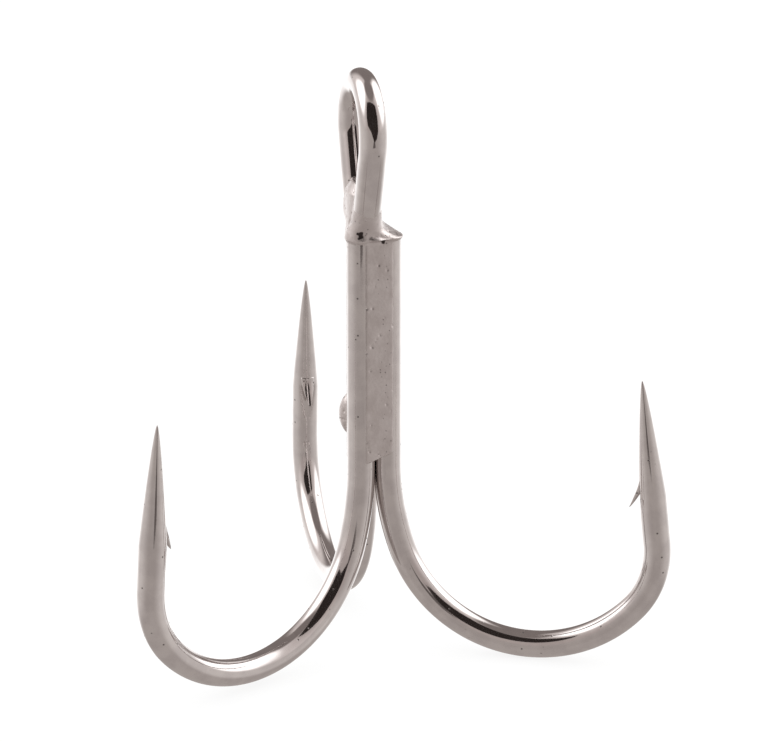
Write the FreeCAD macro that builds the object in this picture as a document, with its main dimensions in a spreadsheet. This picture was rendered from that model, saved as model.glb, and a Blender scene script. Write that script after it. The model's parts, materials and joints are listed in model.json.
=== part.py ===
import FreeCAD, Part
import math
import os
import Sketcher

# Treble fishing hook: two bent steel wires brazed together along the shank.
# Row frame in millimetres: the origin is the centre of the line eye, +Z runs up
# along the shank, the eye lies in the XZ plane and its axis is Y.
# The three wires lie in a bundle round the shank axis: the long wire at -60 and 180
# degrees, the short wire at +60 degrees, all turned by the bundle turn.
# Each body has its own origin on the shank axis.

SIZES = [
    ("wire_diameter", 1.70),
    ("braze_gap", 0.03),
    # the bundle of three wires is turned a little against the line eye
    ("bundle_turn", 8.9),
    # line eye: round top, straight sides drawn in towards the neck
    ("eye_bend_radius", 2.865),
    ("eye_taper_angle", 20.8),
    ("eye_side_end_drop", 3.885),
    ("neck_twist_share", 0.75),
    # heights below the eye centre
    ("shank_top_drop", 6.52),
    ("bend_start_drop", 20.87),
    # hook: three arcs of falling radius, then the straight leg with the point
    # the three hooks were bent by hand, so each opens and turns a little differently
    ("heel_radius", 16.69),
    ("left_heel_angle", 17.24),
    ("right_heel_angle", 19.25),
    ("back_heel_angle", 16.31),
    ("left_turn", -9.96),
    ("right_turn", -5.53),
    ("back_turn", -8.34),
    ("bend_radius", 8.54),
    ("bend_angle", 119.80),
    ("throat_radius", 5.63),
    ("throat_angle", 47.05),
    # the legs were ground to unlike lengths, but their points have one shape
    ("left_leg_length", 10.12),
    ("right_leg_length", 10.32),
    ("back_leg_length", 10.65),
    ("point_length", 7.30),
    # barb: distances up the leg from the end of the throat, and heights off the leg axis
    ("barb_root_rise", 4.20),
    ("barb_tip_rise", 2.50),
    ("barb_tip_height", 1.43),
    ("barb_width", 1.02),
    ("barb_thickness", 0.30),
    ("scoop_depth", 0.20),
    ("scoop_length", 2.00),
    # braze beads in the three grooves
    ("facet_rise", 0.04),
    ("facet_overlap", 0.09),
    ("front_bead_drop", 20.68),
    ("front_bead_slant", 0.60),
    ("side_bead_drop", 20.50),
    ("drip_drop", 17.90),
    ("drip_half_height", 1.45),
    ("drip_reach", 1.98),
    ("drip_half_width", 0.70),
    ("drip_root", 0.35),
    # braze collar: a flared foot on the shank top and a sleeve up to the crotch
    ("collar_foot_radius", 1.66),
    ("collar_flare_height", 0.85),
    ("sleeve_top", 2.70),
    ("sleeve_half_length", 1.74),
    ("sleeve_half_width", 1.07),
    ("sleeve_shift", 0.06),
    ("crotch_top", 3.35),
    ("crotch_half_length", 1.25),
    ("crotch_half_width", 0.70),
]

AZIMUTHS = {"left": -60.0, "right": 60.0, "back": 180.0}
FRONT_GROOVE = 0.0
LEFT_GROOVE = -120.0
REAR_GROOVE = 120.0
# the point's width grows with this power of the distance from its blunt tip
POINT_POWER = 0.74
TIP_RADIUS_SHARE = 0.03
POINT_STEPS = 7
NECK_STEPS = 7
# step along the neck's path for finding its direction
NUDGE = 0.001
# barb sections: shares of its length, width and thickness, from the root to the free end
BARB_SECTIONS = [(0.0, 1.0, 1.0), (0.55, 0.85, 0.72), (1.0, 0.35, 0.12)]
# how deep the barb's root lies under the wire's surface, in barb thicknesses
BARB_ROOT_SINK = 1.1
# the scoop runs out just past the wire's surface
SCOOP_RUNOUT = 1.02
# how far out the bead is widest, in wire radii
BEAD_SHOULDER = 0.97
# the collar's flare: sections by share of its height, and the power of its hollow curve
FLARE_LEVELS = (0, 0.15, 0.35, 0.6, 1)
FLARE_POWER = 2.2
# extra length for tools that cut right through
SPARE = 3.0

document = FreeCAD.newDocument("treble_hook")
sheet = document.addObject("Spreadsheet::Sheet", "sizes")
for row, (alias, value) in enumerate(SIZES, start=1):
    sheet.set("A%d" % row, alias)
    sheet.set("B%d" % row, str(value))
    sheet.setAlias("B%d" % row, alias)
document.recompute()

PITCH = "(sizes.wire_diameter + sizes.braze_gap)"
BUNDLE = "(%s / sqrt(3))" % PITCH


def size(alias):
    """One number from the sheet."""
    return float(sheet.get(alias))


def pair_pitch():
    """Distance between the centres of two neighbouring wires."""
    return size("wire_diameter") + size("braze_gap")


def bundle_radius():
    """Distance from the shank axis to each wire centre."""
    return pair_pitch() / math.sqrt(3)


def polar(radius, degrees):
    """A horizontal vector of this length at this angle about Z."""
    angle = math.radians(degrees)
    return FreeCAD.Vector(radius * math.cos(angle), radius * math.sin(angle), 0)


def wire_place(name):
    """Centre of one straight wire, seen from the shank axis."""
    return polar(bundle_radius(), AZIMUTHS[name] + size("bundle_turn"))


def groove_angle(groove):
    """Direction of one groove between two wires."""
    return groove + size("bundle_turn")


def pair_middle():
    """Middle between the two straight parts of the long wire."""
    return polar(bundle_radius() / 2, groove_angle(LEFT_GROOVE))


def new_body(label):
    """A body whose own origin is on the shank axis, level with the eye centre."""
    body = document.addObject("PartDesign::Body", label)
    body.Label = label
    body.setExpression("Placement.Base.x", BUNDLE + " / 2 * cos(60 deg + sizes.bundle_turn * 1 deg)")
    body.setExpression("Placement.Base.y", BUNDLE + " / 2 * sin(60 deg + sizes.bundle_turn * 1 deg)")
    return body


def origin_plane(body, role):
    """The body's own XY, XZ or YZ plane."""
    return next(item for item in body.Origin.OriginFeatures if item.Role == role)


def new_sketch(body, name, role, offset=None):
    """A sketch on one of the body's own planes."""
    sketch = body.newObject("Sketcher::SketchObject", name)
    sketch.AttachmentSupport = [(origin_plane(body, role), "")]
    sketch.MapMode = "FlatFace"
    if offset is not None:
        sketch.AttachmentOffset = offset
    return sketch


def bind(sketch, name, kind, items, start, expression):
    """Add one named dimension and tie it to the sheet."""
    index = sketch.addConstraint(Sketcher.Constraint(kind, *items, start))
    sketch.renameConstraint(index, name)
    sketch.setExpression("Constraints." + name, expression)


def circle_sketch(body, name, place, diameter="sizes.wire_diameter"):
    """A round wire section on the XY plane moved to the given place."""
    sketch = new_sketch(body, name, "XY_Plane", place)
    middle = FreeCAD.Vector(0, 0, 0)
    up = FreeCAD.Vector(0, 0, 1)
    sketch.addGeometry(Part.Circle(middle, up, size("wire_diameter") / 2), False)
    sketch.addConstraint(Sketcher.Constraint("Coincident", 0, 3, -1, 1))
    bind(sketch, "width", "Diameter", [0], size("wire_diameter"), diameter)
    return sketch


def polygon(sketch, corners):
    """A closed outline of straight lines, pinned at every corner."""
    count = len(corners)
    for index in range(count):
        first = FreeCAD.Vector(corners[index][0], corners[index][1], 0)
        after = corners[(index + 1) % count]
        last = FreeCAD.Vector(after[0], after[1], 0)
        sketch.addGeometry(Part.LineSegment(first, last), False)
    for index in range(count):
        sketch.addConstraint(Sketcher.Constraint("Coincident", index, 2, (index + 1) % count, 1))
        for kind, value in (("DistanceX", corners[index][0]), ("DistanceY", corners[index][1])):
            sketch.addConstraint(Sketcher.Constraint(kind, -1, 1, index, 1, value))


def pipe(body, name, profile, path):
    """Sweep a round section along a path sketch."""
    feature = body.newObject("PartDesign::AdditivePipe", name)
    feature.Profile = profile
    feature.Spine = (path, [])
    feature.Mode = "Frenet"
    document.recompute()
    return feature


def loft(body, name, sections, cut=False, ruled=False):
    """Join sections with a skin, adding to or cutting from the body."""
    kind = "PartDesign::SubtractiveLoft" if cut else "PartDesign::AdditiveLoft"
    feature = body.newObject(kind, name)
    feature.Profile = sections[0]
    feature.Sections = sections[1:]
    feature.Ruled = ruled
    feature.Refine = False
    document.recompute()
    return feature


def hook_plane(name):
    """Turns the XZ plane about Z, and then about the hook's own shank wire."""
    angle = AZIMUTHS[name] + size("bundle_turn") + size(name + "_turn")
    turn = FreeCAD.Rotation(FreeCAD.Vector(0, 1, 0), angle)
    shift = wire_place(name) - polar(bundle_radius(), angle)
    return FreeCAD.Placement(FreeCAD.Vector(shift.x, 0, -shift.y), turn)


def part_angle(name, part):
    """The sheet's name for the angle of one arc of one hook."""
    return name + "_heel_angle" if part == "heel" else part + "_angle"


def hook_points(name):
    """Arcs, leg start and heading of the hook's path, in its own plane."""
    place = FreeCAD.Vector(bundle_radius(), -size("bend_start_drop"), 0)
    heading = -90.0
    arcs = []
    for part in ("heel", "bend", "throat"):
        radius = size(part + "_radius")
        turn = size(part_angle(name, part))
        centre = place + polar(radius, heading + 90)
        arcs.append((centre, radius, heading - 90, heading - 90 + turn))
        heading = heading + turn
        place = centre + polar(radius, heading - 90)
    return arcs, place, heading


def hook_path(body, name):
    """Shank, three tangent arcs and the untapered part of the leg."""
    sketch = new_sketch(body, name + "_path", "XZ_Plane", hook_plane(name))
    arcs, leg_start, heading = hook_points(name)
    up = FreeCAD.Vector(0, 0, 1)
    top = FreeCAD.Vector(bundle_radius(), -size("shank_top_drop"), 0)
    low = FreeCAD.Vector(bundle_radius(), -size("bend_start_drop"), 0)
    sketch.addGeometry(Part.LineSegment(top, low), False)
    for centre, radius, start, end in arcs:
        circle = Part.Circle(centre, up, radius)
        sketch.addGeometry(Part.ArcOfCircle(circle, math.radians(start), math.radians(end)), False)
    plain = size(name + "_leg_length") - size("point_length")
    sketch.addGeometry(Part.LineSegment(leg_start, leg_start + polar(plain, heading)), False)
    sketch.addConstraint(Sketcher.Constraint("Vertical", 0))
    bind(sketch, "shank_side", "DistanceX", [-1, 1, 0, 1], bundle_radius(), BUNDLE)
    bind(sketch, "shank_top", "DistanceY", [0, 1, -1, 1], -top.y, "sizes.shank_top_drop")
    bind(sketch, "bend_start", "DistanceY", [0, 2, -1, 1], -low.y, "sizes.bend_start_drop")
    sketch.addConstraint(Sketcher.Constraint("Tangent", 0, 2, 1, 1))
    for index in (1, 2, 3):
        sketch.addConstraint(Sketcher.Constraint("Tangent", index, 2, index + 1, 1))
    for index, part in enumerate(("heel", "bend", "throat"), start=1):
        alias = part_angle(name, part)
        turn = math.radians(size(alias))
        bind(sketch, part + "_r", "Radius", [index], arcs[index - 1][1], "sizes.%s_radius" % part)
        bind(sketch, part + "_turn", "Angle", [index], turn, "sizes.%s * 1 deg" % alias)
    bind(sketch, "plain_leg", "Distance", [4], plain, "sizes.%s_leg_length - sizes.point_length" % name)
    return sketch


def leg_place(name, along, height):
    """A spot up the leg from the throat and off its axis towards the shank, and the heading."""
    arcs, leg_start, heading = hook_points(name)
    return leg_start + polar(along, heading) + polar(height, heading + 90), heading


def leg_frame(name, along):
    """Placement on the leg axis with y along the leg towards the tip."""
    spot, heading = leg_place(name, along, 0)
    turn = FreeCAD.Rotation(FreeCAD.Vector(0, 0, 1), heading - 90)
    return hook_plane(name).multiply(FreeCAD.Placement(spot, turn))


def point_profile(body, name):
    """Half outline of the round point, drawn with its axis on the sketch's y axis."""
    place = leg_frame(name, size(name + "_leg_length"))
    sketch = new_sketch(body, name + "_point_outline", "XZ_Plane", place)
    length = size("point_length")
    radius = size("wire_diameter") / 2
    poles = []
    for step in range(POINT_STEPS + 1):
        share = (step / POINT_STEPS) ** 2
        width = TIP_RADIUS_SHARE + (1 - TIP_RADIUS_SHARE) * share ** POINT_POWER
        poles.append(FreeCAD.Vector(radius * width, -length * share, 0))
    curve = Part.BSplineCurve()
    curve.interpolate(poles)
    tip_axis = FreeCAD.Vector(0, 0, 0)
    base_axis = FreeCAD.Vector(0, -length, 0)
    sketch.addGeometry(curve, False)
    sketch.addGeometry(Part.LineSegment(poles[-1], base_axis), False)
    sketch.addGeometry(Part.LineSegment(base_axis, tip_axis), False)
    sketch.addGeometry(Part.LineSegment(tip_axis, poles[0]), False)
    for geometry in range(4):
        sketch.addConstraint(Sketcher.Constraint("Block", geometry))
    return sketch


def scoop(body, name):
    """The shallow cut that the barb was raised from."""
    place = leg_frame(name, size("barb_root_rise"))
    sketch = new_sketch(body, name + "_scoop_outline", "XZ_Plane", place)
    radius = size("wire_diameter") / 2
    deep = -(radius - size("scoop_depth"))
    start = -(size("barb_root_rise") - size("barb_tip_rise")) / 2
    end = start - size("scoop_length")
    runout = -radius * SCOOP_RUNOUT
    polygon(sketch, [(-radius * 2, start + radius), (deep, start), (runout, end), (-radius * 2, end)])
    feature = body.newObject("PartDesign::Pocket", name + "_scoop")
    feature.Profile = sketch
    feature.Midplane = True
    feature.Length = SPARE
    document.recompute()


def ellipse_sketch(body, name, role, place, long_half, short_half):
    """An ellipse with its long axis on the sketch's x axis."""
    sketch = new_sketch(body, name, role, place)
    shape = Part.Ellipse(FreeCAD.Vector(0, 0, 0), long_half, short_half)
    sketch.addGeometry(shape, False)
    sketch.addConstraint(Sketcher.Constraint("Block", 0))
    return sketch


def barb_section(body, name, index, along, height, half_width, half_thick, pitch):
    """One cross-section of the barb, wide across the hook's plane."""
    spot, heading = leg_place(name, along, height)
    direction = heading + 180 - pitch
    forward = polar(1, direction)
    across = FreeCAD.Vector(0, 0, 1)
    inward = across.cross(forward) * -1
    frame = FreeCAD.Rotation(across, inward, forward, "ZXY")
    place = hook_plane(name).multiply(FreeCAD.Placement(spot, frame))
    label = "%s_barb_section_%d" % (name, index)
    return ellipse_sketch(body, label, "XZ_Plane", place, half_width, half_thick)


def barb(body, name):
    """A sliver of wire bent up from the leg, its free end towards the bend."""
    radius = size("wire_diameter") / 2
    root = size("barb_root_rise")
    end = size("barb_tip_rise")
    low = radius - size("barb_thickness") * BARB_ROOT_SINK
    rise = size("barb_tip_height") - low
    pitch = math.degrees(math.atan2(rise, root - end))
    half_width = size("barb_width") / 2
    half_thick = size("barb_thickness") / 2
    sections = []
    for index, (share, width, thick) in enumerate(BARB_SECTIONS):
        along = root + (end - root) * share
        height = low + rise * share
        sizes = (half_width * width, half_thick * thick)
        sections.append(barb_section(body, name, index, along, height, *sizes, pitch))
    return loft(body, name + "_barb", sections)


def hook(body, name):
    """Shank, bend, round point and barb of one hook."""
    foot = wire_place(name) - FreeCAD.Vector(0, 0, size("shank_top_drop"))
    place = FreeCAD.Placement(foot, FreeCAD.Rotation())
    profile = circle_sketch(body, name + "_section", place)
    profile.setExpression("AttachmentOffset.Base.z", "-sizes.shank_top_drop")
    pipe(body, name + "_bend", profile, hook_path(body, name))
    outline = point_profile(body, name)
    point = body.newObject("PartDesign::Revolution", name + "_point")
    point.Profile = outline
    point.ReferenceAxis = (outline, ["V_Axis"])
    point.Angle = 360
    document.recompute()
    scoop(body, name)
    barb(body, name)


def ease(share):
    """A smooth rise from 0 to 1 that starts and ends level."""
    return share * share * (3 - 2 * share)


def neck_spot(share, side):
    """Centre of one neck leg, from the shank top (0) to the eye side (1)."""
    low = pair_pitch() / 2
    taper = math.tan(math.radians(size("eye_taper_angle")))
    high = eye_side_end()
    rise = size("shank_top_drop") - size("eye_side_end_drop")
    apart = low + (high - low) * ease(share) + rise * taper * (share ** 3 - share ** 2)
    untwist = 1 - ease(min(share / size("neck_twist_share"), 1))
    angle = (groove_angle(LEFT_GROOVE) + 90) * untwist
    level = FreeCAD.Vector(0, 0, -size("shank_top_drop") + rise * share)
    return pair_middle() + polar(apart * side, angle) + level


def eye_side_end():
    """Half the distance between the eye's sides at their lower ends."""
    taper = math.radians(size("eye_taper_angle"))
    radius = size("eye_bend_radius")
    drop = size("eye_side_end_drop") - radius * math.sin(taper)
    return radius * math.cos(taper) - drop * math.tan(taper)


def neck_direction(share, side):
    """Direction of one neck leg: upright at the shank, along the eye's side at the top."""
    if share == 0:
        return FreeCAD.Vector(0, 0, 1)
    if share == 1:
        return FreeCAD.Vector(side * math.tan(math.radians(size("eye_taper_angle"))), 0, 1)
    return neck_spot(share + NUDGE, side) - neck_spot(share - NUDGE, side)


def neck_sections(body, name, side):
    """Round sections square to the twisting path of one neck leg."""
    sections = []
    for step in range(NECK_STEPS):
        share = step / (NECK_STEPS - 1)
        turn = FreeCAD.Rotation(FreeCAD.Vector(0, 0, 1), neck_direction(share, side))
        place = FreeCAD.Placement(neck_spot(share, side), turn)
        sections.append(circle_sketch(body, "%s_section_%d" % (name, step), place))
    return sections


def eye_section(body, name, side):
    """Wire section where one straight side of the eye meets its round top."""
    taper = side * size("eye_taper_angle")
    place = FreeCAD.Placement(pair_middle(), FreeCAD.Rotation(FreeCAD.Vector(0, 1, 0), taper))
    sketch = new_sketch(body, name, "XY_Plane", place)
    radius = size("eye_bend_radius")
    centre = FreeCAD.Vector(side * radius, 0, 0)
    up = FreeCAD.Vector(0, 0, 1)
    sketch.addGeometry(Part.Circle(centre, up, size("wire_diameter") / 2), False)
    sketch.addConstraint(Sketcher.Constraint("PointOnObject", 0, 3, -1))
    ends = [-1, 1, 0, 3] if side > 0 else [0, 3, -1, 1]
    bind(sketch, "reach", "DistanceX", ends, radius, "sizes.eye_bend_radius")
    bind(sketch, "width", "Diameter", [0], size("wire_diameter"), "sizes.wire_diameter")
    return sketch


def line_eye(body):
    """The round top of the eye, then the two straight sides that lead down to the neck."""
    bow = body.newObject("PartDesign::Revolution", "eye_bow")
    bow.Profile = eye_section(body, "bow_section", 1)
    bow.ReferenceAxis = (bow.Profile[0], ["V_Axis"])
    bow.Reversed = True
    bow.setExpression("Angle", "180 + 2 * sizes.eye_taper_angle")
    document.recompute()
    taper = math.radians(size("eye_taper_angle"))
    drop = size("eye_side_end_drop") - size("eye_bend_radius") * math.sin(taper)
    for name, side in (("near_side", 1), ("far_side", -1)):
        straight = body.newObject("PartDesign::Pad", name)
        straight.Profile = eye_section(body, name + "_section", side)
        straight.Reversed = True
        straight.Length = drop / math.cos(taper)
        document.recompute()


def double_hook():
    """The long wire: left hook, line eye and back hook."""
    body = new_body("double_hook")
    for name in ("left", "back"):
        hook(body, name)
    for name, side in (("near_leg", 1), ("far_leg", -1)):
        loft(body, name, neck_sections(body, name, side))
    line_eye(body)
    return body


def single_hook():
    """The short wire: one hook whose shank ends in a plain cut."""
    body = new_body("single_hook")
    hook(body, "right")
    return body


def wire_holes(body, names, drop):
    """Cut the space of the straight wires out of a braze body."""
    sketch = new_sketch(body, "wires_outline", "XY_Plane")
    sketch.setExpression("AttachmentOffset.Base.z", "-sizes.shank_top_drop")
    up = FreeCAD.Vector(0, 0, 1)
    for index, name in enumerate(names):
        centre = wire_place(name)
        sketch.addGeometry(Part.Circle(centre, up, size("wire_diameter") / 2), False)
        bind(sketch, "width_%d" % index, "Diameter", [index], size("wire_diameter"), "sizes.wire_diameter")
        sketch.addConstraint(Sketcher.Constraint("DistanceX", -1, 1, index, 3, centre.x))
        sketch.addConstraint(Sketcher.Constraint("DistanceY", -1, 1, index, 3, centre.y))
    before = body.Shape.Volume
    feature = body.newObject("PartDesign::Pocket", "wires")
    feature.Profile = sketch
    feature.Midplane = True
    feature.Length = 2 * (drop - size("shank_top_drop")) + SPARE
    document.recompute()
    if not feature.Shape.Volume < before:
        raise RuntimeError("the wires removed nothing from " + body.Label)


def groove_block(body, groove, drop):
    """A block from the line between two wire centres out to a flat facet."""
    sketch = new_sketch(body, "facet_outline", "XY_Plane")
    sketch.AttachmentOffset = FreeCAD.Placement(
        FreeCAD.Vector(0, 0, 0), FreeCAD.Rotation(FreeCAD.Vector(0, 0, 1), groove_angle(groove)))
    sketch.setExpression("AttachmentOffset.Base.z", "-sizes.shank_top_drop")
    radius = size("wire_diameter") / 2
    inner = bundle_radius() / 2
    half = pair_pitch() / 2
    facet = inner + radius + size("facet_rise")
    overlap = half + size("facet_overlap")
    shoulder = inner + radius * BEAD_SHOULDER
    polygon(sketch, [(inner, -half), (inner, half), (shoulder, overlap),
                     (facet, half), (facet, -half), (shoulder, -overlap)])
    feature = body.newObject("PartDesign::Pad", "facet")
    feature.Profile = sketch
    feature.Reversed = True
    feature.Length = drop - size("shank_top_drop")
    document.recompute()


def bead(label, groove, drop):
    """A braze bead lying in one groove between two wires."""
    body = new_body(label)
    groove_block(body, groove, drop)
    return body


def front_bead():
    """Front bead, its lower end cut off a little askew."""
    drop = size("front_bead_drop")
    body = bead("front_bead", FRONT_GROOVE, drop)
    turn = FreeCAD.Rotation(FreeCAD.Vector(0, 1, 0), groove_angle(FRONT_GROOVE))
    place = FreeCAD.Placement(FreeCAD.Vector(0, 0, 0), turn)
    sketch = new_sketch(body, "slant_outline", "YZ_Plane", place)
    half = pair_pitch() / 2 + size("facet_overlap")
    polygon(sketch, [(-half, -drop), (half, -drop + size("front_bead_slant")),
                     (SPARE, -drop), (0, -drop - SPARE), (-SPARE, -drop)])
    slant = body.newObject("PartDesign::Pocket", "slant")
    slant.Profile = sketch
    slant.Midplane = True
    slant.Length = 2 * SPARE
    document.recompute()
    wire_holes(body, ("left", "right"), drop)
    return body


def left_bead():
    """Left bead with the frozen drip standing out near its lower end."""
    drop = size("side_bead_drop")
    body = bead("left_bead", LEFT_GROOVE, drop)
    drip = body.newObject("PartDesign::AdditiveEllipsoid", "drip")
    drip.Radius1 = size("drip_half_height")
    facet = bundle_radius() / 2 + size("wire_diameter") / 2
    drip.Radius2 = size("drip_reach") - facet + size("drip_root")
    drip.Radius3 = size("drip_half_width")
    drip.Angle1 = -90
    drip.Angle2 = 90
    drip.Angle3 = 360
    drip.AttachmentSupport = [(origin_plane(body, "XY_Plane"), "")]
    drip.MapMode = "FlatFace"
    angle = groove_angle(LEFT_GROOVE)
    spot = polar(facet - size("drip_root"), angle) - FreeCAD.Vector(0, 0, size("drip_drop"))
    drip.AttachmentOffset = FreeCAD.Placement(spot, FreeCAD.Rotation(FreeCAD.Vector(0, 0, 1), angle))
    document.recompute()
    wire_holes(body, ("left", "back"), drop)
    return body


def rear_bead():
    """Rear bead, plain from end to end."""
    drop = size("side_bead_drop")
    body = bead("rear_bead", REAR_GROOVE, drop)
    wire_holes(body, ("right", "back"), drop)
    return body


def core():
    """Braze drawn into the narrow channel between the three wires."""
    drop = size("side_bead_drop")
    body = new_body("core")
    sketch = new_sketch(body, "core_outline", "XY_Plane")
    sketch.setExpression("AttachmentOffset.Base.z", "-sizes.shank_top_drop")
    corners = [wire_place(name) for name in AZIMUTHS]
    polygon(sketch, [(corner.x, corner.y) for corner in corners])
    feature = body.newObject("PartDesign::Pad", "filling")
    feature.Profile = sketch
    feature.Reversed = True
    feature.Length = drop - size("shank_top_drop")
    document.recompute()
    wire_holes(body, AZIMUTHS, drop)
    return body


def collar_section(level):
    """Share of the way to the neck's middle, and half sizes, at a height above the shank top."""
    foot = size("collar_foot_radius")
    length = size("sleeve_half_length")
    width = size("sleeve_half_width")
    spread = (1 - min(level / size("collar_flare_height"), 1)) ** FLARE_POWER
    closing = max(level - size("sleeve_top"), 0) / (size("crotch_top") - size("sleeve_top"))
    half_length = length + spread * (foot - length) + closing * (size("crotch_half_length") - length)
    half_width = width + spread * (foot - width) + closing * (size("crotch_half_width") - width)
    return 1 - spread, half_length, half_width


def collar():
    """Concave braze collar on the shank top, drawn up round the neck into the crotch."""
    body = new_body("collar")
    middle = pair_middle()
    neck_rise = size("shank_top_drop") - size("eye_side_end_drop")
    sections = []
    flare = size("collar_flare_height")
    levels = [flare * share for share in FLARE_LEVELS] + [size("sleeve_top"), size("crotch_top")]
    for step, level in enumerate(levels):
        draw, half_length, half_width = collar_section(level)
        share = min(level / neck_rise, 1)
        legs = neck_spot(share, 1) - neck_spot(share, -1)
        angle = math.degrees(math.atan2(legs.y, legs.x))
        shift = FreeCAD.Vector(0, size("sleeve_shift"), level - size("shank_top_drop"))
        turn = FreeCAD.Rotation(FreeCAD.Vector(0, 0, 1), angle)
        place = FreeCAD.Placement(middle * draw + shift, turn)
        name = "collar_section_%d" % step
        sections.append(ellipse_sketch(body, name, "XY_Plane", place, half_length, half_width))
    loft(body, "collar_body", sections, ruled=True)
    for name, side in (("near_leg", 1), ("far_leg", -1)):
        loft(body, name + "_space", neck_sections(body, name, side), cut=True)
    return body


PARTS = [double_hook(), single_hook(), front_bead(), left_bead(), rear_bead(), core(), collar()]

document.recompute()
for item in document.Objects:
    if "Invalid" in item.State or "Error" in item.State:
        raise RuntimeError("%s is %s" % (item.Name, item.State))
for item in PARTS:
    if item.Shape.isNull() or not item.Shape.isValid():
        raise RuntimeError(item.Label + " has no valid shape")

os.makedirs("parts", exist_ok=True)
for item in PARTS:
    item.Shape.exportStep("parts/%s.step" % item.Label)
    box = item.Shape.BoundBox
    print("%-12s solids %d volume %8.3f box %s" % (item.Label, len(item.Shape.Solids), item.Shape.Volume, box))
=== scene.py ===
import json
import math
import random

import bmesh
import bpy
import numpy as np
from mathutils import Matrix, Vector, noise

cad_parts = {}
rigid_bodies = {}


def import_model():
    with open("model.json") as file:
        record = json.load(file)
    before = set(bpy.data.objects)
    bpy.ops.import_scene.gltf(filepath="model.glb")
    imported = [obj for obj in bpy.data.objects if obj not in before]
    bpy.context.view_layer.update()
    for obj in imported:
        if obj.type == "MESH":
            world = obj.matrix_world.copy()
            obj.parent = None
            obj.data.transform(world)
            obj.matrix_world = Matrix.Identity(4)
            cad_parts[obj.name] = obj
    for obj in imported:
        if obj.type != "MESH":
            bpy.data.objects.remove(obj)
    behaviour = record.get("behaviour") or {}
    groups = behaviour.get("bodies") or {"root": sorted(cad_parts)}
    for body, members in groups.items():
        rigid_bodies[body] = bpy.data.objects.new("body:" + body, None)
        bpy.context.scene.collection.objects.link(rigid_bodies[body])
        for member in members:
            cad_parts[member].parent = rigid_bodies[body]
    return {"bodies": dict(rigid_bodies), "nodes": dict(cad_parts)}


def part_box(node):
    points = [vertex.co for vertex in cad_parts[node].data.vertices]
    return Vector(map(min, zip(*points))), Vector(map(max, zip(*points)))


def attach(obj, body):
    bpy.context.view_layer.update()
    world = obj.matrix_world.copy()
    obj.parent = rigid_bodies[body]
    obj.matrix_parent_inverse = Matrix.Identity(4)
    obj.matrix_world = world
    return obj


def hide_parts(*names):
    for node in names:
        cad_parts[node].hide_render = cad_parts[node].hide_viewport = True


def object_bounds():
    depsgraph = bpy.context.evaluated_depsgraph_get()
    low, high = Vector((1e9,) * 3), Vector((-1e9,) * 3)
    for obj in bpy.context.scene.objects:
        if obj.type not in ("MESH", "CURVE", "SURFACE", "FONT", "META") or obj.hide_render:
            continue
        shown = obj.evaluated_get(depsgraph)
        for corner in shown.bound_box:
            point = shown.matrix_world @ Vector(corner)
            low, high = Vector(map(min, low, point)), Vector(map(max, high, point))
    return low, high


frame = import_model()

CAD_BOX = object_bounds()
ROOT = next(iter(frame["bodies"]))
random.seed(7)

# Sizes are in millimetres and angles in degrees unless a name says otherwise. The design
# height, eye top to lowest bend, ties them to the frame: MM is one millimetre in the scene.
DESIGN_HEIGHT = 36.6587
MM = (CAD_BOX[1][2] - CAD_BOX[0][2]) / DESIGN_HEIGHT

WIRE_RADIUS = 0.85
PITCH = 1.73
BUNDLE = PITCH / math.sqrt(3)
BUNDLE_TURN = 8.9
LEFT_GROOVE = math.radians(BUNDLE_TURN - 120)
SHANK_AXIS = -BUNDLE / 2 * np.array([math.cos(LEFT_GROOVE), math.sin(LEFT_GROOVE)])

AZIMUTH = {"left": BUNDLE_TURN - 60, "right": BUNDLE_TURN + 60, "back": BUNDLE_TURN + 180}
TURN = {"left": -9.96, "right": -5.53, "back": -8.34}
HEEL_ANGLE = {"left": 17.24, "right": 19.25, "back": 16.31}
HEEL_RADIUS = 16.69
BEND = (8.54, 119.80)
THROAT = (5.63, 47.05)
LEG_LENGTH = {"left": 10.12, "right": 10.32, "back": 10.65}
POINT_LENGTH = 7.30
POINT_POWER = 0.74
TIP_SHARE = 0.03
CUT_END_SHARE = 0.93

SHANK_TOP = -6.52
BEND_START = -20.87
EYE_RADIUS = 2.865
EYE_TAPER = math.radians(20.8)
EYE_TOP_TURN = 4
EYE_SIDE_END = -3.885
NECK_RISE = EYE_SIDE_END - SHANK_TOP
NECK_TWIST_SHARE = 0.45

BARB_ROOT = 4.15
BARB_TIP = 2.36
BARB_HEIGHT = {"left": 1.40, "right": 1.50, "back": 1.47}
BARB_THICKNESS = 0.62
BARB_HALF_WIDTH = 0.42
BARB_EDGE = 0.02
BARB_TIP_THICKNESS = 0.035
BARB_LIFT_POWER = 1.5
BARB_THINNING_POWER = 0.8
BARB_SECTIONS = 26
BARB_ACROSS_STEPS = 10
SCOOP_START = 3.65
SCOOP_END = 1.35
SCOOP_DEPTH = 0.20
SCOOP_POWER = 0.8

# Fineness of the wire meshes, and the distance below which points are welded.
STEP = 0.06
AROUND = 56
WELD = 0.002

# Camera: direction, distance, and the point it aims at, aside of the axis and in height.
VIEW_AZIMUTH = math.radians(76.45)
VIEW_ELEVATION = math.radians(17.76)
VIEW_DISTANCE = 238.23
VIEW_AIM = 1.533
VIEW_AIM_HEIGHT = -15.178
LENS = 181.5
SENSOR = 36.0


def clamp(value):
    return min(max(value, 0), 1)


def ease(share):
    return share * share * (3 - 2 * share)


# --- centre lines -----------------------------------------------------------------------------


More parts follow.
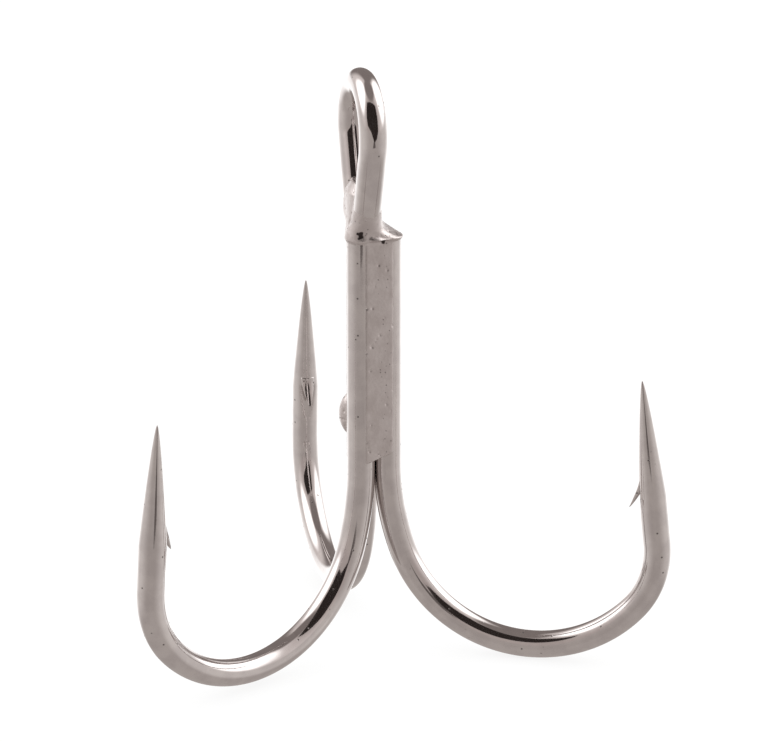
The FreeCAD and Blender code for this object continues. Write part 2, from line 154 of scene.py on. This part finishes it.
def outline_of_hook(name):
    """Hook centre line from shank top to tip, as (outward, up) pairs in the hook's plane."""
    points = [np.array([BUNDLE, z]) for z in np.arange(SHANK_TOP, BEND_START, -STEP)]
    place = np.array([BUNDLE, BEND_START])
    heading = math.radians(-90)
    for radius, degrees in ((HEEL_RADIUS, HEEL_ANGLE[name]), BEND, THROAT):
        turn = math.radians(degrees)
        centre = place + radius * np.array([-math.sin(heading), math.cos(heading)])
        count = max(2, int(radius * turn / STEP))
        for step in range(count):
            angle = heading - math.pi / 2 + turn * step / count
            points.append(centre + radius * np.array([math.cos(angle), math.sin(angle)]))
        heading += turn
        angle = heading - math.pi / 2
        place = centre + radius * np.array([math.cos(angle), math.sin(angle)])
    direction = np.array([math.cos(heading), math.sin(heading)])
    count = int(LEG_LENGTH[name] / STEP)
    for step in range(count + 1):
        points.append(place + direction * LEG_LENGTH[name] * step / count)
    return np.array(points), heading


def wire_place(name):
    """Centre of one straight shank wire."""
    azimuth = math.radians(AZIMUTH[name])
    return SHANK_AXIS + BUNDLE * np.array([math.cos(azimuth), math.sin(azimuth)])


def in_row(name, flat):
    """Turn (outward, up) pairs of one hook into row positions in millimetres."""
    angle = math.radians(AZIMUTH[name] + TURN[name])
    shank = wire_place(name)
    reach = flat[:, 0] - BUNDLE
    x = shank[0] + math.cos(angle) * reach
    y = shank[1] + math.sin(angle) * reach
    return np.stack([x, y, flat[:, 1]], axis=1)


def side_end():
    """Half the distance between the straight sides of the eye at their lower ends."""
    drop = -EYE_SIDE_END - EYE_RADIUS * math.sin(EYE_TAPER)
    return EYE_RADIUS * math.cos(EYE_TAPER) - drop * math.tan(EYE_TAPER)


def neck_spot(share, side):
    """Place of one neck leg, from the shank top (0) to the straight side of the eye (1)."""
    slope = NECK_RISE * math.tan(EYE_TAPER) * (share ** 3 - share ** 2)
    apart = PITCH / 2 + (side_end() - PITCH / 2) * ease(share) + slope
    angle = (LEFT_GROOVE + math.pi / 2) * (1 - ease(min(share / NECK_TWIST_SHARE, 1)))
    return side * apart * np.array([math.cos(angle), math.sin(angle)])


def neck_line(side):
    """One neck leg from the shank top up to the straight side of the eye."""
    points = []
    for share in np.arange(0, 1, STEP / NECK_RISE):
        spot = neck_spot(share, side)
        points.append([spot[0], spot[1], SHANK_TOP + NECK_RISE * share])
    return np.array(points)


def eye_line():
    """Straight side, round top and straight side of the eye, from +X to -X."""
    corner = np.array([EYE_RADIUS * math.cos(EYE_TAPER), -EYE_RADIUS * math.sin(EYE_TAPER)])
    low = np.array([side_end(), EYE_SIDE_END])
    count = int(np.linalg.norm(corner - low) / STEP)
    rising = [low + (corner - low) * step / count for step in range(count)]
    turns = np.linspace(-EYE_TAPER, math.pi + EYE_TAPER, int(EYE_RADIUS * EYE_TOP_TURN / STEP))
    top = [EYE_RADIUS * np.array([math.cos(turn), math.sin(turn)]) for turn in turns]
    falling = [np.array([-spot[0], spot[1]]) for spot in reversed(rising)]
    flat = np.array(rising + top + falling)
    return np.stack([flat[:, 0], np.zeros(len(flat)), flat[:, 1]], axis=1)


# --- wire meshes ------------------------------------------------------------------------------


def ring_frames(path):
    """Tangent and two crosswise directions at each point, with no twist between neighbours."""
    tangent = np.gradient(path, axis=0)
    tangent /= np.linalg.norm(tangent, axis=1)[:, None]
    across = np.cross(tangent[0], [0.3, 0.9, 0.1])
    across /= np.linalg.norm(across)
    sides = []
    for direction in tangent:
        across = across - direction * np.dot(across, direction)
        across /= np.linalg.norm(across)
        sides.append(across)
    sides = np.array(sides)
    return tangent, sides, np.cross(tangent, sides)


def distance_along(path):
    """Distance travelled from the start of a path to each of its points."""
    return np.concatenate([[0], np.cumsum(np.linalg.norm(np.diff(path, axis=0), axis=1))])


def point_share(distance):
    """Radius as a share of the wire's, at a distance from the tip."""
    share = np.clip(distance / POINT_LENGTH, 0, 1)
    return TIP_SHARE + (1 - TIP_SHARE) * share ** POINT_POWER


def ring_faces(rings, around):
    """Four-sided faces between rings of points that follow one another."""
    faces = []
    for row in range(rings - 1):
        for column in range(around):
            after = (column + 1) % around
            faces.append((row * around + column, row * around + after,
                          (row + 1) * around + after, (row + 1) * around + column))
    return faces


def tube(name, path, radius):
    """A closed tube round a path; its UV map holds turns round and millimetres along."""
    tangent, side, up = ring_frames(path)
    travelled = distance_along(path)
    turns = np.arange(AROUND) / AROUND * 2 * math.pi
    ring = np.cos(turns)[None, :, None] * side[:, None, :]
    ring = ring + np.sin(turns)[None, :, None] * up[:, None, :]
    spots = path[:, None, :] + ring * radius[:, None, None]
    rows = len(path)
    vertices = np.concatenate([spots.reshape(-1, 3), path[:1], path[-1:]])
    faces = ring_faces(rows, AROUND)
    uvs = []
    for row in range(rows - 1):
        for column in range(AROUND):
            for right, above in ((0, 0), (1, 0), (1, 1), (0, 1)):
                uvs.append(((column + right) / AROUND, travelled[row + above]))
    for centre, row in ((rows * AROUND, 0), (rows * AROUND + 1, rows - 1)):
        for column in range(AROUND):
            after = (column + 1) % AROUND
            pair = (column, after) if row else (after, column)
            faces.append((row * AROUND + pair[0], row * AROUND + pair[1], centre))
            uvs.extend([(column / AROUND, travelled[row])] * 3)
    mesh = bpy.data.meshes.new(name)
    mesh.from_pydata([tuple(spot) for spot in vertices], [], faces)
    layer = mesh.uv_layers.new(name="wire")
    layer.data.foreach_set("uv", np.array(uvs).ravel())
    return mesh


class Leg:
    """Local directions of one hook's leg: up it from the throat, height towards the shank."""

    def __init__(self, name):
        flat, heading = outline_of_hook(name)
        angle = math.radians(AZIMUTH[name] + TURN[name])
        out = np.array([math.cos(angle), math.sin(angle), 0])
        upright = np.array([0, 0, 1.0])
        self.length = LEG_LENGTH[name]
        self.rise = math.cos(heading) * out + math.sin(heading) * upright
        self.inward = -math.sin(heading) * out + math.cos(heading) * upright
        self.across = np.cross(self.inward, self.rise)
        self.foot = in_row(name, flat[-1:])[0] - self.rise * self.length

    def place(self, along, height, across):
        return self.foot + self.rise * along + self.inward * height + self.across * across

    def surface(self, along):
        return WIRE_RADIUS * float(point_share(self.length - along))


def cut_scoop(vertices, leg):
    """Shave the hollow that the barb was raised from, deepest under the barb."""
    offset = vertices - leg.foot
    along = offset @ leg.rise
    height = offset @ leg.inward
    share = np.clip((SCOOP_START - along) / (SCOOP_START - SCOOP_END), 0, 1)
    floor = WIRE_RADIUS - SCOOP_DEPTH * (1 - share) ** SCOOP_POWER
    near = (along < SCOOP_START) & (along > SCOOP_END) & (height > floor) & (height < 2 * WIRE_RADIUS)
    vertices[near] += leg.inward[None, :] * (floor - height)[near][:, None]
    return vertices


def finish_mesh(mesh):
    """Scale a millimetre mesh to metres and shade it smooth."""
    mesh.transform(Matrix.Scale(MM, 4))
    mesh.validate()
    for polygon in mesh.polygons:
        polygon.use_smooth = True
    mesh.update()


def show(name, mesh, material, slot_name, *nodes):
    """Add a finished piece to the scene, on the one rigid body."""
    piece = bpy.data.objects.new(name, mesh)
    bpy.context.scene.collection.objects.link(piece)
    mesh.materials.clear()
    mesh.materials.append(material)
    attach(piece, ROOT)
    if nodes:
        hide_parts(*nodes)
    return piece


def vertex_places(mesh):
    places = np.empty(len(mesh.vertices) * 3)
    mesh.vertices.foreach_get("co", places)
    return places.reshape(-1, 3)


def wire_mesh(name, path, radius, hooks):
    """A wire with its points' scoops cut, in metres."""
    mesh = tube(name, path, radius)
    vertices = vertex_places(mesh)
    for hook in hooks:
        vertices = cut_scoop(vertices, Leg(hook))
    mesh.vertices.foreach_set("co", vertices.ravel())
    finish_mesh(mesh)
    return mesh


def double_hook():
    """The long wire: left hook, up to the eye, and down again to the back hook."""
    left = in_row("left", outline_of_hook("left")[0])[::-1]
    back = in_row("back", outline_of_hook("back")[0])
    path = np.concatenate([left[:-1], neck_line(1), eye_line(), neck_line(-1)[::-1], back[1:]])
    travelled = distance_along(path)
    radius = WIRE_RADIUS * point_share(travelled) * point_share(travelled[-1] - travelled)
    return wire_mesh("double_hook_wire", path, radius, ("left", "back"))


def single_hook():
    """The short wire: right hook, with a plain cut end at the shank top."""
    path = in_row("right", outline_of_hook("right")[0])
    travelled = distance_along(path)
    radius = WIRE_RADIUS * point_share(travelled[-1] - travelled)
    radius[0] *= CUT_END_SHARE
    return wire_mesh("single_hook_wire", path, radius, ("right",))


def barb(name):
    """A sliver shaved up from the wire: round on top like the wire, flat below, bent outwards."""
    leg = Leg(name)
    vertices = []
    for index in range(BARB_SECTIONS + 1):
        share = index / BARB_SECTIONS
        along = BARB_ROOT + (BARB_TIP - BARB_ROOT) * share
        surface = leg.surface(along)
        lift = (BARB_HEIGHT[name] - surface) * share ** BARB_LIFT_POWER
        half_width = BARB_HALF_WIDTH * (1 - share ** 1.6) ** 0.9 + BARB_EDGE
        thickness = BARB_THICKNESS * (1 - share) ** BARB_THINNING_POWER + BARB_TIP_THICKNESS
        for side in (1, -1):
            for step in range(BARB_ACROSS_STEPS + 1):
                place = (step / BARB_ACROSS_STEPS * 2 - 1) * side
                crown = math.sqrt(max(surface ** 2 - (place * half_width) ** 2, 0)) - surface
                height = surface + lift + crown
                if side < 0:
                    height -= thickness * (1 - place ** 2) ** 0.5
                vertices.append(leg.place(along, height, place * half_width))
    count = 2 * (BARB_ACROSS_STEPS + 1)
    faces = ring_faces(BARB_SECTIONS + 1, count)
    faces.append(tuple(reversed(range(count))))
    faces.append(tuple(range(BARB_SECTIONS * count, (BARB_SECTIONS + 1) * count)))
    mesh = bpy.data.meshes.new(name + "_barb")
    mesh.from_pydata([tuple(spot) for spot in vertices], [], faces)
    shape = bmesh.new()
    shape.from_mesh(mesh)
    bmesh.ops.remove_doubles(shape, verts=shape.verts, dist=WELD)
    bmesh.ops.recalc_face_normals(shape, faces=shape.faces)
    shape.to_mesh(mesh)
    shape.free()
    finish_mesh(mesh)
    return mesh


# --- braze ------------------------------------------------------------------------------------

BRAZE_NODES = ("front_bead", "left_bead", "rear_bead", "core", "collar")
VOXEL = 0.05
FILLER_SHRINK = 0.05
FILLER_AROUND = 48
FILLER_SHORT = 0.1
ROUNDING = 0.5
ROUNDING_PASSES = 6

# Surface of the braze: two waves of unevenness as (height, frequency), and small pits.
WAVES = ((0.012, 1.6), (0.006, 6))
PIT_COUNT = 260
PIT_SIZE = (0.05, 0.13)
PIT_DEPTH_SHARE = 0.45

# The collar, by height over the shank top: a skirt, a hollow flare and a sleeve up the neck.
COLLAR_BASE = -0.25
FLARE_HEIGHT = 1.30
FLARE_POWER = 2.4
SLEEVE_FADE = 1.2
SLEEVE_TOP = 2.75
SLEEVE_SKIN = 0.07
SLEEVE_DIP = 2
LIP_SKIN = 0.14
LIP_DIP = 1.2
COLLAR_STEP = 0.05
COLLAR_AROUND = 96

# Shrink holes in the collar: direction from the shank axis, level, size and depth. They are shallow
# dents; their dark look is painted shade.
HOLES = [(-36, -6.10, 0.36, 0.03), (18, -6.62, 0.28, 0.06)]
HOLE_DISTANCE = 1.5
HOLE_RAGGED = 0.6
HOLE_RAGGED_FREQUENCY = 5


def wrapped(spots, facing, skin):
    """How far an outline drawn tight round wires at these places reaches in each direction."""
    return (facing @ np.array(spots).T).max(axis=1) + WIRE_RADIUS + skin


def add_collar(shape):
    """A skin of braze from the shank's three wires, hollowing in to the two neck legs."""
    turns = np.arange(COLLAR_AROUND) / COLLAR_AROUND * 2 * math.pi
    facing = np.stack([np.cos(turns), np.sin(turns)], axis=1)
    beside = np.stack([-np.sin(turns), np.cos(turns)], axis=1)
    shank = [wire_place(name) for name in AZIMUTH]
    rings = []
    for level in np.arange(COLLAR_BASE, SLEEVE_TOP, COLLAR_STEP):
        share = clamp(level / NECK_RISE)
        spread = (1 - clamp(level / FLARE_HEIGHT)) ** FLARE_POWER
        fade = ease(clamp((level - SLEEVE_FADE) / (SLEEVE_TOP - SLEEVE_FADE)))
        legs = [neck_spot(share, 1), neck_spot(share, -1)]
        neck = wrapped(legs, facing, SLEEVE_SKIN * (1 - SLEEVE_DIP * fade))
        foot = wrapped(shank, facing, LIP_SKIN * (1 - LIP_DIP * max(level / COLLAR_BASE, 0)))
        reach = foot * spread + neck * (1 - spread)
        slant = (np.roll(reach, -1) - np.roll(reach, 1)) / (turns[2] - turns[0])
        outline = facing * reach[:, None] + beside * slant[:, None]
        rings.append([shape.verts.new((x, y, SHANK_TOP + level)) for x, y in outline])
    corners = [corner for ring in rings for corner in ring]
    for face in ring_faces(len(rings), COLLAR_AROUND):
        shape.faces.new([corners[index] for index in face])
    shape.faces.new(reversed(rings[0]))
    shape.faces.new(rings[-1])


def braze_blocks():
    """The CAD braze and thinner copies of the wires between it, in millimetres."""
    shape = bmesh.new()
    for name in BRAZE_NODES:
        shape.from_mesh(frame["nodes"][name].data)
    bmesh.ops.scale(shape, vec=Vector((1, 1, 1)) / MM, verts=shape.verts)
    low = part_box("front_bead")[0][2] / MM
    for name in AZIMUTH:
        middle = wire_place(name)
        place = Matrix.Translation((middle[0], middle[1], (low + SHANK_TOP) / 2))
        size = WIRE_RADIUS - FILLER_SHRINK
        bmesh.ops.create_cone(shape, cap_ends=True, segments=FILLER_AROUND, radius1=size,
                              radius2=size, depth=SHANK_TOP - low - FILLER_SHORT, matrix=place)
    add_collar(shape)
    mesh = bpy.data.meshes.new("braze_blocks")
    shape.to_mesh(mesh)
    shape.free()
    return mesh


def dent(distance, size, depth):
    """A soft round hollow, by distance from its middle."""
    return depth * np.exp(-(distance / size) ** 2 * 2)


def braze():
    """One frozen mass: blocks melted together, rounded off and pitted; its shrink holes carry a mask of
    painted shade.
    """
    rough = bpy.data.objects.new("braze_blocks", braze_blocks())
    bpy.context.scene.collection.objects.link(rough)
    remesh = rough.modifiers.new("melt", "REMESH")
    remesh.mode = "VOXEL"
    remesh.voxel_size = VOXEL
    rounding = rough.modifiers.new("round", "SMOOTH")
    rounding.factor = ROUNDING
    rounding.iterations = ROUNDING_PASSES
    ready = rough.evaluated_get(bpy.context.evaluated_depsgraph_get())
    mesh = bpy.data.meshes.new_from_object(ready)
    mesh.name = "braze_metal"
    bpy.data.objects.remove(rough)
    count = len(mesh.vertices)
    spots = vertex_places(mesh)
    normals = np.empty(count * 3)
    mesh.vertex_normals.foreach_get("vector", normals)
    normals = normals.reshape(-1, 3)
    push = np.array([sum(height * noise.noise(Vector(spot) * often) for height, often in WAVES)
                     for spot in spots])
    for _ in range(PIT_COUNT):
        centre = spots[random.randrange(count)]
        size = random.uniform(*PIT_SIZE)
        distance = np.linalg.norm(spots - centre, axis=1)
        push -= dent(distance, size, PIT_DEPTH_SHARE * size)
    # Painted shade: a ragged mask over each shrink hole, kept on the mesh, which the braze material
    # darkens almost to black.
    hole_shade = np.zeros(count)
    for degrees, level, size, depth in HOLES:
        angle = math.radians(degrees)
        beside = SHANK_AXIS + HOLE_DISTANCE * np.array([math.cos(angle), math.sin(angle)])
        target = np.array([beside[0], beside[1], level])
        centre = spots[np.linalg.norm(spots - target, axis=1).argmin()]
        distance = np.linalg.norm(spots - centre, axis=1)
        push -= dent(distance, size, depth)
        inside = distance < size
        ragged = np.array([noise.noise(Vector(spot) * HOLE_RAGGED_FREQUENCY) for spot in spots[inside]])
        hole_shade[inside] += 1 - distance[inside] / size + HOLE_RAGGED * ragged
    spots = spots + normals * push[:, None]
    mesh.vertices.foreach_set("co", spots.ravel())
    hole_shade_mask = mesh.attributes.new("hole_shade_mask", "FLOAT", "POINT")
    hole_shade_mask.data.foreach_set("value", np.clip(hole_shade, 0, 1))
    finish_mesh(mesh)
    return mesh


# --- materials --------------------------------------------------------------------------------


WIRE_DEEP = (0.60, 0.56, 0.55, 1)
WIRE_PALE = (0.67, 0.63, 0.615, 1)
STREAK_TONE = (0.42, 0.38, 0.365, 1)
WIRE_PIT_TONE = (0.06, 0.05, 0.045, 1)
BRAZE_DEEP = (0.56, 0.51, 0.495, 1)
BRAZE_PALE = (0.66, 0.61, 0.595, 1)
GRAIN_TONE = (0.38, 0.34, 0.33, 1)
BRAZE_PIT_TONE = (0.09, 0.075, 0.07, 1)
# Painted shade for the inside of the shrink holes.
PAINTED_HOLE_SHADE = (0.05, 0.04, 0.038, 1)
FLOOR_TONE = (0.17, 0.17, 0.17, 1)
FLOOR_GLOW = (0.84, 0.84, 0.84, 1)
WIRE_BUMP = 0.02 * MM
BRAZE_BUMP = 0.03 * MM


class Nodes:
    """Short helper for wiring the node tree of one material or world."""

    def __init__(self, owner):
        owner.use_nodes = True
        self.owner = owner
        self.tree = owner.node_tree
        self.tree.nodes.clear()

    def add(self, kind, inputs=None, **settings):
        node = self.tree.nodes.new(kind)
        for key, value in settings.items():
            setattr(node, key, value)
        for key, value in (inputs or {}).items():
            if isinstance(value, bpy.types.NodeSocket):
                self.tree.links.new(value, node.inputs[key])
            else:
                node.inputs[key].default_value = value
        return node

    def math(self, operation, first, second=0.0):
        return self.add("ShaderNodeMath", {0: first, 1: second}, operation=operation).outputs[0]

    def position(self):
        """Place in the row frame, in millimetres."""
        place = self.add("ShaderNodeNewGeometry").outputs["Position"]
        inputs = {0: place, "Scale": 1.0 / MM}
        return self.add("ShaderNodeVectorMath", inputs, operation="SCALE").outputs[0]

    def noise(self, vector, scale, detail=3.0, rough=0.55):
        inputs = {"Vector": vector, "Scale": scale, "Detail": detail, "Roughness": rough}
        return self.add("ShaderNodeTexNoise", inputs).outputs["Fac"]

    def span(self, value, low, high, to_low=0.0, to_high=1.0):
        inputs = {"Value": value, "From Min": low, "From Max": high, "To Min": to_low, "To Max": to_high}
        return self.add("ShaderNodeMapRange", inputs, interpolation_type="SMOOTHSTEP").outputs[0]

    def mix(self, share, first, second):
        node = self.add("ShaderNodeMix", {0: share, 6: first, 7: second}, data_type="RGBA")
        return node.outputs[2]

    def metal(self, colour, roughness, normal):
        inputs = {"Base Color": colour, "Metallic": 1.0, "Roughness": roughness, "Normal": normal}
        shader = self.add("ShaderNodeBsdfPrincipled", inputs)
        self.add("ShaderNodeOutputMaterial", {"Surface": shader.outputs[0]})
        return self.owner


def pits(nodes, place, scale, size, sparse):
    """1 in small round pits scattered over part of the surface, 0 elsewhere."""
    cells = nodes.add("ShaderNodeTexVoronoi", {"Vector": place, "Scale": scale})
    spot = nodes.span(cells.outputs["Distance"], size, size * 0.4)
    pick = nodes.add("ShaderNodeSeparateColor", {"Color": cells.outputs["Color"]}).outputs[0]
    chosen = nodes.math("GREATER_THAN", pick, sparse)
    return nodes.math("MULTIPLY", spot, chosen)


def wire_material():
    """Bright plated steel wire: drawn streaks, small pits, a slightly uneven tone."""
    nodes = Nodes(bpy.data.materials.new("hook_wire"))
    place = nodes.position()
    uv = nodes.add("ShaderNodeUVMap", uv_map="wire").outputs[0]
    drawn = nodes.add("ShaderNodeMapping", {"Vector": uv, "Scale": (16.0, 0.35, 1.0)}).outputs[0]
    streak = nodes.noise(drawn, 1.5, 4.0)
    cloud = nodes.noise(place, 0.8, 4.0)
    fine = nodes.noise(place, 9.0, 3.0)
    pit = pits(nodes, place, 1.9, 0.16, 0.72)
    tone = nodes.mix(nodes.span(cloud, 0.35, 0.65), WIRE_DEEP, WIRE_PALE)
    tone = nodes.mix(nodes.span(streak, 0.60, 0.75, to_high=0.22), tone, STREAK_TONE)
    tone = nodes.mix(nodes.math("MULTIPLY", pit, 0.75), tone, WIRE_PIT_TONE)
    rough = nodes.math("ADD", nodes.span(streak, 0.3, 0.7, 0.06, 0.11), nodes.math("MULTIPLY", pit, 0.4))
    height = nodes.math("MULTIPLY", streak, 0.05)
    height = nodes.math("ADD", height, nodes.math("MULTIPLY", fine, 0.05))
    height = nodes.math("SUBTRACT", height, pit)
    bump = nodes.add("ShaderNodeBump", {"Height": height, "Strength": 0.35, "Distance": WIRE_BUMP})
    return nodes.metal(tone, rough, bump.outputs[0])


def braze_material():
    """Dull frozen braze: grainy, finely pitted, a little darker than the wire, with painted shade in its
    shrink holes.
    """
    nodes = Nodes(bpy.data.materials.new("braze"))
    place = nodes.position()
    cloud = nodes.noise(place, 1.1, 5.0)
    grain = nodes.noise(place, 14.0, 4.0, 0.7)
    pit = pits(nodes, place, 3.2, 0.2, 0.6)
    tone = nodes.mix(nodes.span(cloud, 0.3, 0.7), BRAZE_DEEP, BRAZE_PALE)
    tone = nodes.mix(nodes.span(grain, 0.55, 0.72, to_high=0.45), tone, GRAIN_TONE)
    tone = nodes.mix(nodes.math("MULTIPLY", pit, 0.6), tone, BRAZE_PIT_TONE)
    # Painted shade: the shrink holes darken almost to black.
    hole_shade_mask = nodes.add("ShaderNodeAttribute", attribute_name="hole_shade_mask").outputs["Fac"]
    tone = nodes.mix(nodes.span(hole_shade_mask, 0.25, 0.5), tone, PAINTED_HOLE_SHADE)
    rough = nodes.span(cloud, 0.3, 0.7, 0.30, 0.42)
    height = nodes.math("MULTIPLY", grain, 0.35)
    height = nodes.math("SUBTRACT", height, nodes.math("MULTIPLY", pit, 0.8))
    bump = nodes.add("ShaderNodeBump", {"Height": height, "Strength": 0.5, "Distance": BRAZE_BUMP})
    return nodes.metal(tone, rough, bump.outputs[0])


def floor_material():
    """Matt floor that glows almost white, so that shadows on it stay faint."""
    nodes = Nodes(bpy.data.materials.new("floor"))
    shade = nodes.add("ShaderNodeBsdfDiffuse", {"Color": FLOOR_TONE})
    glow = nodes.add("ShaderNodeEmission", {"Color": FLOOR_GLOW})
    both = nodes.add("ShaderNodeAddShader", {0: shade.outputs[0], 1: glow.outputs[0]})
    nodes.add("ShaderNodeOutputMaterial", {"Surface": both.outputs[0]})
    return nodes.owner


# --- studio -----------------------------------------------------------------------------------


# Brightness of what the polished metal reflects.
FLOOR_FRONT = (0.49, 0.45, 0.43, 1)
FLOOR_SIDE = (0.78, 0.74, 0.72, 1)
FLOOR_BACK = (1.5, 1.5, 1.5, 1)
FLOOR_NEAR = (0.52, 0.48, 0.46, 1)
CEILING = (0.27, 0.235, 0.225, 1)
FRONT_WALL = (0.54, 0.48, 0.46, 1)
SIDE_WALL = (0.88, 0.82, 0.80, 1)
SOFT_BOX = (2.1, 2.1, 2.1, 1)
LENS_SHADE = (0.03, 0.023, 0.021, 1)
STAND_SHADE = (0.15, 0.13, 0.125, 1)
ROOM_WHITE = (1.25, 1.25, 1.25, 1)

# Dark cards in front of the hook, as (aside, height) corners in millimetres.
CARD_DISTANCE = 70
STAND_OUTLINE = [(4, -13), (-3, -28), (23, -28), (18, -13)]
CARD_OUTLINE = [(11, -15), (35, -8), (60, 12), (70, 60), (75, 130),
                (-80, 130), (-80, 45), (-60, 22), (-15, 7)]

# Soft boxes: turn from the camera, half width, height and half height, in degrees.
LEFT_BOX = (-98, 32, 38, 24)
RIGHT_BOX = (111, 35, 33, 29)
BOX_SOFTNESS = 0.7
BOX_SQUARENESS = 2.6

# Where one tone of the studio gives way to the next, in degrees aside or of height.
FLOOR_SIDE_EDGE = (20, 100)
FLOOR_BACK_EDGE = (100, 160)
FLOOR_NEAR_EDGE = (-22, -42)
WALL_EDGE = (35, 75)
CEILING_EDGE = (60, 70)
BACK_EDGE = (138, 158)
HORIZON = (0, 10)

# The visible floor, in metres: half its side, and its clearance below the hook.
FLOOR_HALF = 3.0
FLOOR_CLEARANCE = 0.00002


def view_axes():
    """Right, up and back directions of the camera in the row frame."""
    right = Vector((math.cos(VIEW_AZIMUTH), math.sin(VIEW_AZIMUTH), 0))
    flat = math.cos(VIEW_ELEVATION)
    back = Vector((math.sin(VIEW_AZIMUTH) * flat, -math.cos(VIEW_AZIMUTH) * flat,
                   math.sin(VIEW_ELEVATION)))
    return right, back.cross(right), back


def level_axes():
    """Right of the camera and level towards it, in the row frame."""
    right, _, back = view_axes()
    return right, Vector((back.x, back.y, 0)).normalized()


def add_camera():
    """Camera in front of the hook and slightly above it."""
    right, up, back = view_axes()
    aim = Vector((0, 0, VIEW_AIM_HEIGHT)) + right * VIEW_AIM
    data = bpy.data.cameras.new("view")
    data.lens = LENS
    data.sensor_width = SENSOR
    data.clip_start = 0.01
    data.clip_end = 10
    camera = bpy.data.objects.new("view", data)
    turn = Matrix((right, up, back)).transposed().to_4x4()
    camera.matrix_world = Matrix.Translation((aim + back * VIEW_DISTANCE) * MM) @ turn
    bpy.context.scene.collection.objects.link(camera)
    bpy.context.scene.camera = camera


def add_floor():
    """A wide floor that the hook's lowest bends just clear."""
    half = FLOOR_HALF
    level = CAD_BOX[0][2] - FLOOR_CLEARANCE
    corners = [(-half, -half, level), (half, -half, level), (half, half, level), (-half, half, level)]
    mesh = bpy.data.meshes.new("floor")
    mesh.from_pydata(corners, [], [(0, 1, 2, 3)])
    mesh.materials.append(floor_material())
    floor = bpy.data.objects.new("floor", mesh)
    bpy.context.scene.collection.objects.link(floor)
    floor.visible_glossy = False


def add_card(name, outline, colour):
    """An upright dark card on the camera's side of the hook; only reflections see it."""
    right, forward = level_axes()
    mesh = bpy.data.meshes.new(name)
    corners = [forward * CARD_DISTANCE + right * aside + Vector((0, 0, height))
               for aside, height in outline]
    mesh.from_pydata([corner * MM for corner in corners], [], [tuple(range(len(corners)))])
    nodes = Nodes(bpy.data.materials.new(name))
    glow = nodes.add("ShaderNodeEmission", {"Color": colour, "Strength": 1.0})
    nodes.add("ShaderNodeOutputMaterial", {"Surface": glow.outputs[0]})
    mesh.materials.append(nodes.owner)
    card = bpy.data.objects.new(name, mesh)
    bpy.context.scene.collection.objects.link(card)
    card.visible_camera = False
    card.visible_diffuse = False
    card.visible_shadow = False


def add_world():
    """Plain white for the eye and the floor; reflections see a small studio.

    Two big soft boxes stand left and right, the ceiling is dim, and the pale floor grows
    brighter towards the back.
    """
    world = bpy.data.worlds.new("studio")
    bpy.context.scene.world = world
    nodes = Nodes(world)
    direction = nodes.add("ShaderNodeTexCoord").outputs["Generated"]
    right, forward = level_axes()

    def along(axis):
        inputs = {0: direction, 1: tuple(axis)}
        return nodes.add("ShaderNodeVectorMath", inputs, operation="DOT_PRODUCT").outputs["Value"]

    def degrees(value):
        return nodes.math("MULTIPLY", value, 180 / math.pi)

    turn = degrees(nodes.math("ARCTAN2", along(right), along(forward)))
    height = degrees(nodes.math("ARCSINE", along(Vector((0, 0, 1)))))
    aside = nodes.math("ABSOLUTE", turn)

    def soft_box(middle, half_width, level, half_height):
        wide = nodes.math("DIVIDE", nodes.math("SUBTRACT", turn, middle), half_width)
        tall = nodes.math("DIVIDE", nodes.math("SUBTRACT", height, level), half_height)
        far = nodes.math("ADD", nodes.math("POWER", nodes.math("ABSOLUTE", wide), BOX_SQUARENESS),
                         nodes.math("POWER", nodes.math("ABSOLUTE", tall), BOX_SQUARENESS))
        return nodes.span(far, 1 + BOX_SOFTNESS, 1 - BOX_SOFTNESS)

    floor = nodes.mix(nodes.span(aside, *FLOOR_SIDE_EDGE), FLOOR_FRONT, FLOOR_SIDE)
    floor = nodes.mix(nodes.span(aside, *FLOOR_BACK_EDGE), floor, FLOOR_BACK)
    floor = nodes.mix(nodes.span(height, *FLOOR_NEAR_EDGE), floor, FLOOR_NEAR)
    sky = nodes.mix(nodes.span(aside, *WALL_EDGE), FRONT_WALL, SIDE_WALL)
    sky = nodes.mix(nodes.span(height, *CEILING_EDGE), sky, CEILING)
    sky = nodes.mix(nodes.span(aside, *BACK_EDGE), sky, CEILING)
    sky = nodes.mix(soft_box(*LEFT_BOX), sky, SOFT_BOX)
    sky = nodes.mix(soft_box(*RIGHT_BOX), sky, SOFT_BOX)
    glossy = nodes.mix(nodes.span(height, *HORIZON), floor, sky)
    path = nodes.add("ShaderNodeLightPath")
    colour = nodes.mix(path.outputs["Is Glossy Ray"], ROOM_WHITE, glossy)
    shader = nodes.add("ShaderNodeBackground", {"Color": colour, "Strength": 1.0})
    nodes.add("ShaderNodeOutputWorld", {"Surface": shader.outputs[0]})


# --- the scene --------------------------------------------------------------------------------

wire = wire_material()
filler = braze_material()
show("double_hook_wire", double_hook(), wire, "hook_wire", "double_hook")
show("single_hook_wire", single_hook(), wire, "hook_wire", "single_hook")
for hook_name in AZIMUTH:
    show(hook_name + "_barb", barb(hook_name), wire, "hook_wire")
show("braze_metal", braze(), filler, "braze", *BRAZE_NODES)
add_floor()
add_card("lens_card", CARD_OUTLINE, LENS_SHADE)
add_card("lens_stand", STAND_OUTLINE, STAND_SHADE)
add_world()
add_camera()
bpy.context.scene.view_settings.view_transform = "Standard"
